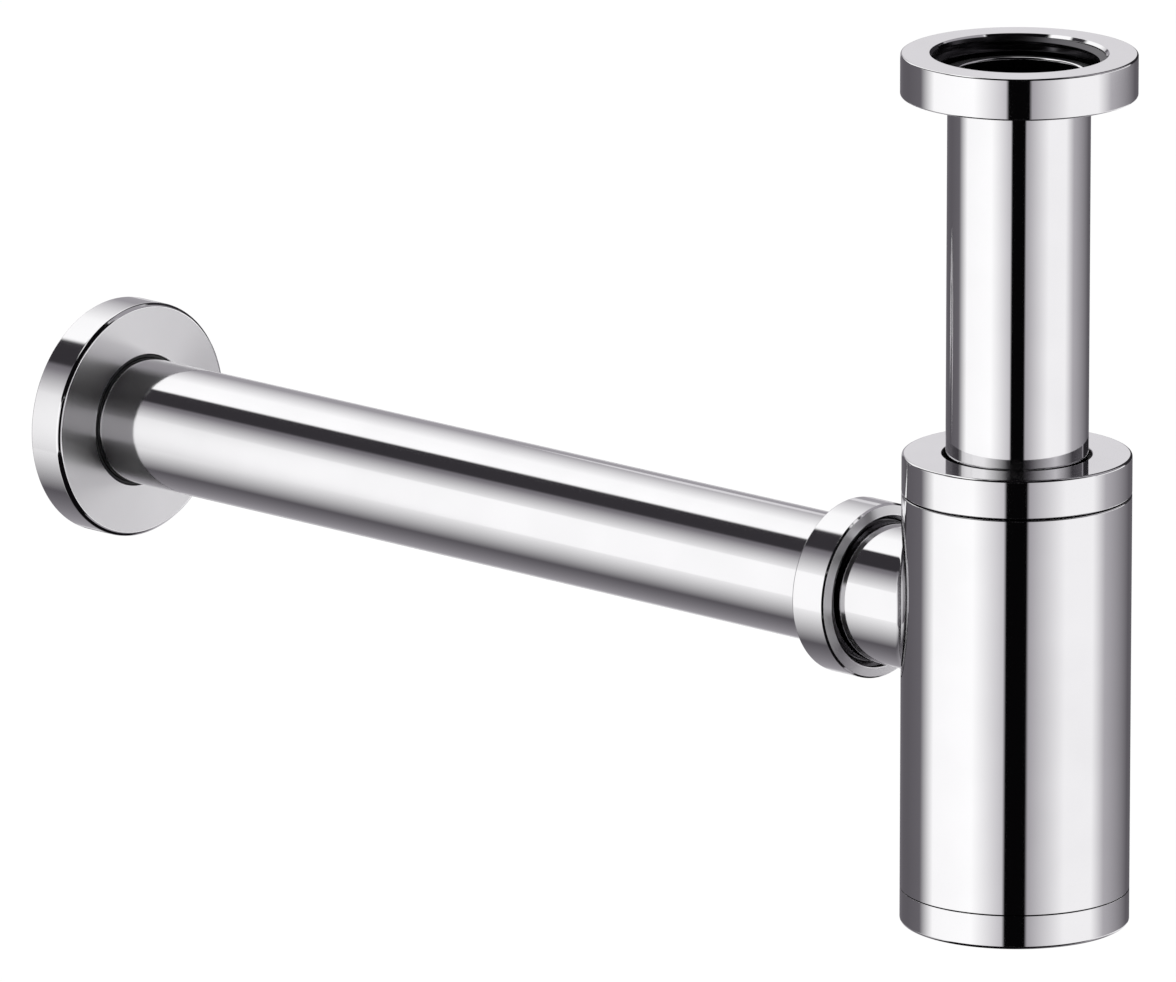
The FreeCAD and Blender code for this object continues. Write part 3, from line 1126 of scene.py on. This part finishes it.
    def casting(self) -> list[Patch]:
        """All patches of the casting: the turned ends, the holed walls and the stub."""
        corners = [
            (self.neck_outside, SHOULDER, 0), (self.neck_outside, self.neck_top, 0.3),
            (self.neck_bore, self.neck_top, 0.2), (self.neck_bore, self.ledge_top, 0),
            (self.ledge_bore, self.ledge_top, 0), (self.ledge_bore, self.ledge_bottom, 0),
            (self.bore, self.chamber_top, 0), (self.bore, self.chamber_bottom, 0),
            (self.thread_radius, self.thread_top, 0), (self.thread_radius, self.pocket_top, 0),
            (self.pocket_radius, self.pocket_top, 0), (self.pocket_radius, FOOT, 0),
            (BOTTLE_RADIUS, FOOT, self.foot_edge), (BOTTLE_RADIUS, SHOULDER, self.shoulder_edge),
        ]
        # These runs lie under the cap and the plug and take the near-black bore metal, whose colour is
        # painted shade.
        bare_with_painted_shade = (0, 1, 11, 13)
        walls = (6, 12)
        plain = [
            swept(run.points, run.normals, full_turn(self.segments), Axis.UPRIGHT, run.surface(bare_with_painted_shade))
            for run in section_runs(corners) if run.eased or run.corner not in walls
        ]
        return plain + self.stub()

    def build(self) -> None:
        """Builds and dresses the casting and its threads, the dip tube and its gasket."""
        f = self.finishes
        add_piece("cast_bottle", self.casting(), f.upright_plate, "bottle", "polished_chrome",
                  "bottle_body")
        screws = {
            "bottle_neck_thread": ridge(
                self.neck_outside, self.neck_crest, FINE_PITCH, self.neck_thread_start,
                self.neck_top - self.neck_runout, Axis.UPRIGHT),
            "bottle_foot_thread": ridge(
                self.thread_radius, self.thread_crest, FINE_PITCH, PLUG_THREAD_START,
                self.thread_top - self.thread_runout, Axis.UPRIGHT, phase=0.5),
            "outlet_stub_thread": ridge(
                self.stub_thread_root, self.stub_thread_crest, FINE_PITCH,
                self.stub_thread_start + self.stub_runout, self.stub_reach - self.stub_runout,
                Axis.LEVEL),
        }
        for name, screw in screws.items():
            add_piece(name, screw, f.upright_plate, "bottle", "polished_chrome")
        dress_node("dip_tube", f.white_plastic)
        dress_node("dip_tube_gasket", f.upright_rubber)


def facing_out(points: np.ndarray, normals: np.ndarray, surface: Surface = Surface.SIDE) -> Patch:
    """Makes a patch whose faces look the way its normals do.

    Args:
        points: The grid of points.
        normals: Their normals.
        surface: The kind of surface that it makes.

    Returns:
        The patch, with its columns turned round where the grid ran the other way.
    """
    way = np.sum(face_normals(points) * normals)
    if way < 0.0:
        return Patch(points[:, ::-1], normals[:, ::-1], surface)
    return Patch(points, normals, surface)


@dataclass
class CleaningPlug:
    """The bowl that screws into the bottle's foot, with its thread and round seal."""

    finishes: Finishes
    outside: float = 24.12
    crest: float = 24.92
    bore: float = 21.72
    base: float = -211.85
    bowl_floor: float = -209.35
    thread_top: float = -195.15
    thread_runout: float = 0.3
    edge: float = 0.85
    seam_edge: float = 0.08
    bowl_round: float = 2.0

    def build(self) -> None:
        """Builds and dresses the plug, its thread and its seal."""
        f = self.finishes
        corners = [
            (0.0, self.base, 0), (BOTTLE_RADIUS, self.base, self.edge),
            (BOTTLE_RADIUS, PLUG_FLANGE_TOP, self.seam_edge), (self.outside, PLUG_FLANGE_TOP, 0),
            (self.outside, self.thread_top, 0.3), (self.bore, self.thread_top, 0.3),
            (self.bore, self.bowl_floor, self.bowl_round), (0.0, self.bowl_floor, 0),
        ]
        plug = turned(corners, Axis.UPRIGHT, bare_with_painted_shade=(2, 3, 4))
        add_piece("turned_cleaning_plug", plug, f.upright_plate, "cleaning_plug", "polished_chrome",
                  "cleaning_plug")
        screw = ridge(self.outside, self.crest, FINE_PITCH, PLUG_THREAD_START,
                      self.thread_top - self.thread_runout, Axis.UPRIGHT)
        add_piece("cleaning_plug_thread", screw, f.upright_plate, "cleaning_plug", "polished_chrome")
        dress_node("plug_seal", f.upright_rubber)


@dataclass
class OutletJoint:
    """The nut on the outlet stub, its thread, and the slip ring and cone seal inside it."""

    finishes: Finishes
    nut_radius: float = 21.75
    mouth: float = 43.2
    end: float = 54.0
    floor: float = 52.1
    hole: float = 16.3
    thread_radius: float = 18.85
    thread_crest: float = 18.05
    thread_runout: float = 0.6
    edge: float = 0.5
    bevel: float = 0.45
    bevel_edge: float = 0.12
    crown: float = 0.65

    def build(self) -> None:
        """Builds and dresses the nut, whose mouth falls away a little, and what it presses on."""
        f = self.finishes
        shoulder = self.mouth + self.crown
        corners = [
            (self.thread_radius, self.mouth, 0.2),
            (self.nut_radius - self.bevel, shoulder, self.bevel_edge),
            (self.nut_radius, shoulder + self.bevel, self.bevel_edge),
            (self.nut_radius, self.end, self.edge), (self.hole, self.end, 0.3),
            (self.hole, self.floor, 0), (self.thread_radius, self.floor, 0),
        ]
        nut = turned(corners, Axis.LEVEL)
        add_piece("turned_outlet_nut", nut, f.level_plate, "outlet_nut", "satin_chrome",
                  "outlet_nut")
        screw = ridge(self.thread_radius, self.thread_crest, FINE_PITCH,
                      self.mouth + self.thread_runout, self.floor - self.thread_runout, Axis.LEVEL,
                      phase=0.5)
        add_piece("outlet_nut_thread", screw, f.level_plate, "outlet_nut", "satin_chrome")
        dress_node("outlet_slip_ring", f.level_dark)
        dress_node("outlet_seal", f.level_rubber)


@dataclass
class OutletPipe:
    """The straight drawn pipe from the stub through the rosette into the wall."""

    finishes: Finishes
    bore: float = 14.8
    start: float = 34.0
    end: float = 317.3
    end_round: float = 0.3

    def build(self) -> None:
        """Builds and dresses the pipe."""
        corners = [
            (self.bore, self.start, 0.2), (PIPE_RADIUS, self.start, self.end_round),
            (PIPE_RADIUS, self.end, self.end_round), (self.bore, self.end, 0.2),
        ]
        pipe, plate = turned(corners, Axis.LEVEL), self.finishes.level_plate
        add_piece("drawn_outlet_pipe", pipe, plate, "outlet_pipe", "satin_chrome", "outlet_pipe")


@dataclass
class WallRosette:
    """The hollow round cover at the wall and the rubber ring that grips the pipe in it."""

    finishes: Finishes
    radius: float = 30.1
    face: float = 297.4
    wall: float = 307.3
    hole: float = 16.85
    front: float = 1.8
    rim: float = 1.5
    edge: float = 1.7
    bevel: float = 0.8
    bevel_edge: float = 0.85
    grip_bore: float = 16.05
    grip_outside: float = 16.8
    grip_flange: float = 20.5
    grip_inset: float = 0.3
    grip_depth: float = 1.6
    grip_seat: float = 0.02

    def build(self) -> None:
        """Builds and dresses the rosette, whose eased edge has a narrow flat, and its grip ring."""
        f = self.finishes
        inside, back = self.radius - self.rim, self.face + self.front
        cover = turned([
            (self.hole, self.face, 0.3),
            (self.radius - self.bevel, self.face, self.bevel_edge),
            (self.radius, self.face + self.bevel, self.bevel_edge),
            (self.radius, self.wall, 0.3), (inside, self.wall, 0),
            (inside, back, self.edge - self.rim / 2.0), (self.hole, back, 0),
        ], Axis.LEVEL, bare_with_painted_shade=(4, 6), steps=14)
        add_piece("spun_wall_rosette", cover, f.level_plate, "wall_rosette", "satin_chrome",
                  "wall_rosette")
        front, end = self.face + self.grip_inset, back + self.grip_depth
        seat = back + self.grip_seat
        grip = turned([
            (self.grip_bore, front, 0.25), (self.grip_outside, front, 0.25),
            (self.grip_outside, seat, 0), (self.grip_flange, seat, 0),
            (self.grip_flange, end, 0.3), (self.grip_bore, end, 0.3),
        ], Axis.LEVEL)
        add_piece("moulded_grip_ring", grip, [f.level_rubber], "rosette_ring", "black_rubber",
                  "rosette_grip_ring")


def linear(tone: float) -> float:
    """Light that a display value from 0 to 255 stands for."""
    value = tone / 255.0
    return value / 12.92 if value <= 0.04045 else ((value + 0.055) / 1.055) ** 2.4


@dataclass(frozen=True)
class Card:
    """A long card of light, which fades into the next one.

    Attributes:
        start: Angle of its first edge, in degrees.
        end: Angle of its last edge.
        first: Tone at the first edge, from 0 to 255.
        last: Tone at the last edge.
    """

    start: float
    end: float
    first: float
    last: float


Cards = tuple[Card, ...]


@dataclass
class Studio:
    """Camera, floor, white surroundings and the light tent that the chrome mirrors.

    The tent is a closed drum round the trap that only mirrored rays see. Its wall carries the upright
    cards, given by their angle from the camera. The rest of it carries long cards beside the pipe,
    given by their angle above the level on the side away from the wall's right. A card's tone is what
    bright chrome shows there: soft boxes on both sides of a black flag, grey flats behind them, and a
    dark strip. Sectors are in degrees, and the other places of the cards are in metres.
    """

    camera_azimuth: float = -48.28
    camera_place: Triple = (-3.1340, -2.7944, 0.9572)
    camera_tilt: float = 75.81
    camera_turn: float = -46.86
    camera_lens: float = 546.8
    floor_height: float = -0.75
    floor_radius: float = 16.0
    tent_radius: float = 1.6
    tent_top: float = 1.3
    plate: float = 0.80
    strength: float = 1.3
    violet: tuple[float, float] = (0.095, 0.075)
    lamp_energy: float = 0.3
    lamp_spread: float = 60.0
    lamp_tilt: tuple[float, float] = (18.0, -14.0)
    floor_glow: float = 0.14
    segments: int = 96
    lid_depth: float = 0.01
    base_gap: float = 0.005
    base_depth: float = 0.015
    deep_depth: float = 0.03
    sector_fade: float = 4.0
    band_fade: float = 0.04
    thin_fade: float = 0.02
    disc_fade: float = 0.1
    far_fade: float = 0.05
    short_fade: float = 0.06
    pipe_fade: float = 2.0
    glint_fades: tuple[float, float] = (6.0, 0.08)
    low_band: tuple[float, float] = (-0.72, -0.31)
    mid_band: tuple[float, float] = (-0.34, 0.30)
    mid_sector: tuple[float, float] = (-160.0, 84.0)
    high_band: tuple[float, float] = (0.25, 0.37)
    high_sector: tuple[float, float] = (-165.0, 130.0)
    pipe_sector: tuple[float, float] = (-101.0, -80.0)
    front_sector: tuple[float, float] = (-78.0, 84.0)
    front_floor: float = 1.3
    side_sector: tuple[float, float] = (86.0, 132.0)
    side_band: tuple[float, float] = (-0.68, -0.34)
    side_top: float = 0.03
    side_floor: float = 1.05
    edge_sector: tuple[float, float] = (134.0, 174.0)
    edge_bottom: float = -0.30
    dark_ceiling: float = 0.85
    dark_roof: float = 0.5
    dark_floor: float = 0.48
    dark_disc: float = 0.62
    glint_sector: tuple[float, float] = (-121.0, -65.0)
    glint_ring: tuple[float, float] = (0.55, 1.05)
    roof_band: tuple[float, float] = (0.25, 0.46)
    roof_half: float = 6.0
    roof_tone: float = 210.0
    side_tone: float = 255.0
    shade_tone: float = 150.0
    edge_tone: float = 40.0
    dark_tone: float = 10.0
    upright_cards: Cards = (
        Card(-180, -150, 110, 90), Card(-135, -110, 90, 100), Card(-90, -45, 250, 255),
        Card(-44, -12, 255, 190), Card(-10.5, 10.5, 5, 5), Card(12, 50, 160, 240),
        Card(51, 82, 240, 240), Card(100, 150, 170, 90),
    )
    high_cards: Cards = (
        Card(-180, -110, 110, 60), Card(-75, -55, 250, 250), Card(-15, -11, 40, 5),
        Card(-10, 10, 5, 5), Card(20, 65, 60, 200), Card(100, 180, 60, 110),
    )
    pipe_cards: Cards = (
        Card(-180, -155, 190, 230), Card(-135, -75, 150, 85), Card(-20, 15, 250, 250),
        Card(48, 52, 120, 110), Card(55, 79, 50, 50), Card(82, 112, 255, 250),
        Card(158, 168, 150, 150),
    )
    made: list[bpy.types.Object] = field(default_factory=list)

    def light(self, tone: float) -> Triple:
        """Works out the light that makes the chrome show a tone, a shade towards violet if dark."""
        value = min(linear(tone) / (self.plate * self.strength), 1.0)
        short = 1.0 - tone / 255.0
        green, blue = self.violet
        return value, value * (1.0 - green * short), value * (1.0 + blue * short)

    def stops(self, cards: Cards) -> list[tuple[float, Triple]]:
        """Turns cards into the stops of a ramp, two for each."""
        edges = [
            edge for card in cards for edge in ((card.start, card.first), (card.end, card.last))
        ]
        return [((angle + 180.0) / 360.0, self.light(tone)) for angle, tone in edges]

    def tent_shares(self, shader: Shader, around: object, y: object, z: object,
                    reach: object) -> dict[str, Socket]:
        """Works out where each kind of card lies on the tent.

        Args:
            shader: The tent's node tree.
            around: Angle from the camera, in degrees.
            y: Distance towards the wall.
            z: Height.
            reach: Distance from the upright axis.

        Returns:
            The share of each kind of card, from 0 to 1.
        """
        def both(first: object, second: object) -> Socket:
            """Where both shares are."""
            return shader.calc("MULTIPLY", first, second)

        def either(first: object, second: object) -> Socket:
            """Where one share or the other is."""
            return shader.calc("MAXIMUM", first, second)

        def without(share: object) -> Socket:
            """Where the share isn't."""
            return shader.calc("SUBTRACT", 1.0, share)

        def past(value: object, limit: float, fade: float) -> Socket:
            """Where the value is past a limit, after a fade."""
            return shader.ranged(value, limit, limit + fade, 0.0, 1.0)

        def within(value: object, limit: float, fade: float) -> Socket:
            """Where the value is within a limit, before a fade."""
            return shader.ranged(value, limit, limit + fade, 1.0, 0.0)

        turn, band, thin, disc = self.sector_fade, self.band_fade, self.thin_fade, self.disc_fade
        ceiling = shader.calc("GREATER_THAN", z, self.tent_top - self.lid_depth)
        floor = shader.calc("LESS_THAN", z, self.floor_height + self.base_depth)
        low = shader.span(z, *self.low_band, band)
        middle = both(shader.span(z, *self.mid_band, band),
                      shader.span(around, *self.mid_sector, turn))
        front = shader.span(around, *self.front_sector, turn)
        deep = shader.calc("LESS_THAN", z, self.low_band[0] + self.deep_depth)
        far_front = both(both(front, deep), past(reach, self.front_floor, self.far_fade))
        high = both(shader.span(z, *self.high_band, thin),
                    shader.span(around, *self.high_sector, turn))
        beside = shader.span(around, *self.side_sector, turn)
        side = both(beside, without(shader.span(z, *self.side_band, band)))
        inner = both(floor, within(reach, self.side_floor, disc))
        upper = past(z, self.side_top, band)
        raised = shader.calc("GREATER_THAN", z, self.edge_bottom)
        dark_wall = both(front, past(z, self.high_band[1], thin))
        over = within(reach, self.dark_roof, disc)
        dark_ceiling = both(ceiling, within(y, self.dark_ceiling, disc))
        dark_roof = both(dark_ceiling, either(front, over))
        under = both(within(reach, self.dark_disc, disc), without(beside))
        short = within(y, self.dark_floor, self.short_fade)
        dark_floor = both(both(floor, short), either(front, under))
        glint_turn, glint_reach = self.glint_fades
        glint = both(shader.span(around, *self.glint_sector, glint_turn),
                     shader.span(reach, *self.glint_ring, glint_reach))
        behind = shader.calc("GREATER_THAN", shader.calc("ABSOLUTE", around), 180.0 - self.roof_half)
        side_card = both(both(side, without(upper)), without(inner))
        dark_low = both(dark_floor, without(either(far_front, side_card)))
        return {
            "upright": either(either(low, middle), far_front),
            "side": side_card,
            "shade": both(side, either(upper, inner)),
            "edge": both(shader.span(around, *self.edge_sector, turn), raised),
            "high": both(high, without(shader.span(around, *self.pipe_sector, self.pipe_fade))),
            "dark": either(either(dark_wall, dark_roof), dark_low),
            "glint": both(dark_ceiling, glint),
            "roof": both(behind, shader.span(z, *self.roof_band, thin)),
        }

    def tent_material(self) -> Material:
        """Builds the glow of the tent from its cards."""
        shader = Shader("light_tent")
        turn = math.radians(self.camera_azimuth)
        coordinates = shader.add("ShaderNodeTexCoord").outputs["Object"]
        split = shader.add("ShaderNodeSeparateXYZ")
        shader.feed(split.inputs[0], coordinates)
        x, y, z = split.outputs
        sin, cos = math.sin(turn), math.cos(turn)
        ahead = shader.calc("MULTIPLY_ADD", x, sin, shader.calc("MULTIPLY", y, -cos))
        right = shader.calc("MULTIPLY_ADD", x, cos, shader.calc("MULTIPLY", y, sin))
        around = shader.calc("MULTIPLY", shader.calc("ARCTAN2", right, ahead), 180.0 / math.pi)
        reach = shader.calc("SQRT", shader.calc("MULTIPLY_ADD", x, x, shader.calc("MULTIPLY", y, y)))
        drop = shader.calc("SUBTRACT", z, OUTLET_HEIGHT * MILLIMETRE)
        above = shader.calc("ARCTAN2", drop, shader.calc("MULTIPLY", x, -1.0))
        turned_share = shader.ranged(around, -180.0, 180.0, 0.0, 1.0)
        upright = shader.ramp(turned_share, self.stops(self.upright_cards))
        high = shader.ramp(turned_share, self.stops(self.high_cards))
        raised_share = shader.ranged(above, -math.pi, math.pi, 0.0, 1.0)
        light = shader.ramp(raised_share, self.stops(self.pipe_cards))
        shares = self.tent_shares(shader, around, y, z, reach)
        side, shade, edge, dark, roof = (
            self.light(tone) for tone in
            (self.side_tone, self.shade_tone, self.edge_tone, self.dark_tone, self.roof_tone)
        )
        cards = {
            "upright": upright, "side": side, "shade": shade, "edge": edge, "high": high,
            "dark": dark, "glint": side, "roof": roof,
        }
        for name, card in cards.items():
            light = shader.blended(shares[name], light, card)
        glow = shader.add("ShaderNodeEmission")
        shader.feed(glow.inputs["Color"], light)
        glow.inputs["Strength"].default_value = self.strength
        shader.feed(shader.output.inputs["Surface"], glow.outputs[0])
        return shader.material

    def build_tent(self) -> None:
        """Builds the drum of the light tent, seen by mirrored rays alone."""
        low = (self.floor_height + self.base_gap) / MILLIMETRE
        high = self.tent_top / MILLIMETRE
        radius = self.tent_radius / MILLIMETRE
        section = [(0.0, low, 0), (radius, low, 0), (radius, high, 0), (0.0, high, 0)]
        drum = turned(section, Axis.UPRIGHT, segments=self.segments)
        tent = welded("light_tent", drum, [self.tent_material()])
        tent.visible_camera = tent.visible_diffuse = tent.visible_transmission = False
        tent.visible_shadow = tent.visible_volume_scatter = False
        self.made.append(tent)

    def build_floor(self) -> None:
        """Builds the pale floor, which glows for the camera only as much as it lacks to be white."""
        shader = Shader("pale_floor")
        radius = self.floor_radius
        pale = shader.principled(0.9, metallic=0.0)
        spread = shader.noise(shader.add("ShaderNodeTexCoord").outputs["Object"], 0.4)
        paper = shader.blended(spread, (0.80, 0.80, 0.80), (0.805, 0.803, 0.807))
        shader.feed(pale.inputs["Base Color"], paper)
        pale.inputs["Specular IOR Level"].default_value = 0.0
        pale.inputs["Emission Color"].default_value = (1.0, 1.0, 1.0, 1.0)
        seen = shader.add("ShaderNodeLightPath").outputs["Is Camera Ray"]
        shader.feed(pale.inputs["Emission Strength"], shader.calc("MULTIPLY", seen, self.floor_glow))
        rings = np.concatenate([[0.0], np.geomspace(0.2, radius, 24)]) / MILLIMETRE
        section = np.column_stack([rings, np.full_like(rings, self.floor_height / MILLIMETRE)])
        up = np.tile([0.0, 1.0], (len(rings), 1))
        disc = swept(section[::-1], up, full_turn(self.segments), Axis.UPRIGHT)
        self.made.append(welded("pale_floor", [disc], [shader.material]))

    def build_light(self) -> None:
        """Lights the trap from the white surroundings and from one soft lamp overhead."""
        world = bpy.data.worlds.new("white_surroundings")
        world.use_nodes = True
        sky = world.node_tree.nodes["Background"]
        sky.inputs["Color"].default_value = (1.0, 1.0, 1.0, 1.0)
        sky.inputs["Strength"].default_value = 1.0
        bpy.context.scene.world = world
        lamp = bpy.data.lights.new("soft_overhead", "SUN")
        lamp.energy = self.lamp_energy
        lamp.angle = math.radians(self.lamp_spread)
        holder = bpy.data.objects.new("soft_overhead", lamp)
        holder.rotation_euler = (*(math.radians(tilt) for tilt in self.lamp_tilt), 0.0)
        holder.visible_glossy = False
        bpy.context.scene.collection.objects.link(holder)

    def build_camera(self) -> None:
        """Sets the camera at the angle that the trap is seen from."""
        lens = bpy.data.cameras.new("camera")
        lens.sensor_fit = "HORIZONTAL"
        lens.sensor_width = 36.0
        lens.lens = self.camera_lens
        camera = bpy.data.objects.new("camera", lens)
        camera.location = self.camera_place
        camera.rotation_euler = (math.radians(self.camera_tilt), 0.0, math.radians(self.camera_turn))
        bpy.context.scene.collection.objects.link(camera)
        bpy.context.scene.camera = camera

    def build(self) -> None:
        """Sets up the whole studio and logs the names of what isn't part of the trap."""
        self.build_camera()
        self.build_light()
        self.build_floor()
        self.build_tent()
        bpy.context.scene.view_settings.view_transform = "Standard"
        LOG.info("studio: %s", ", ".join(thing.name for thing in self.made))


def main() -> None:
    """Builds the studio and every sub-assembly in order."""
    logging.basicConfig(level=logging.INFO, format="%(name)s %(message)s")
    Studio().build()
    finishes = Finishes()
    assemblies = (
        BasinConnection, BottleHead, Bottle, CleaningPlug, OutletJoint, OutletPipe, WallRosette,
    )
    for assembly in assemblies:
        LOG.info("building %s", assembly.__name__)
        assembly(finishes).build()


if __name__ == "__main__":
    main()
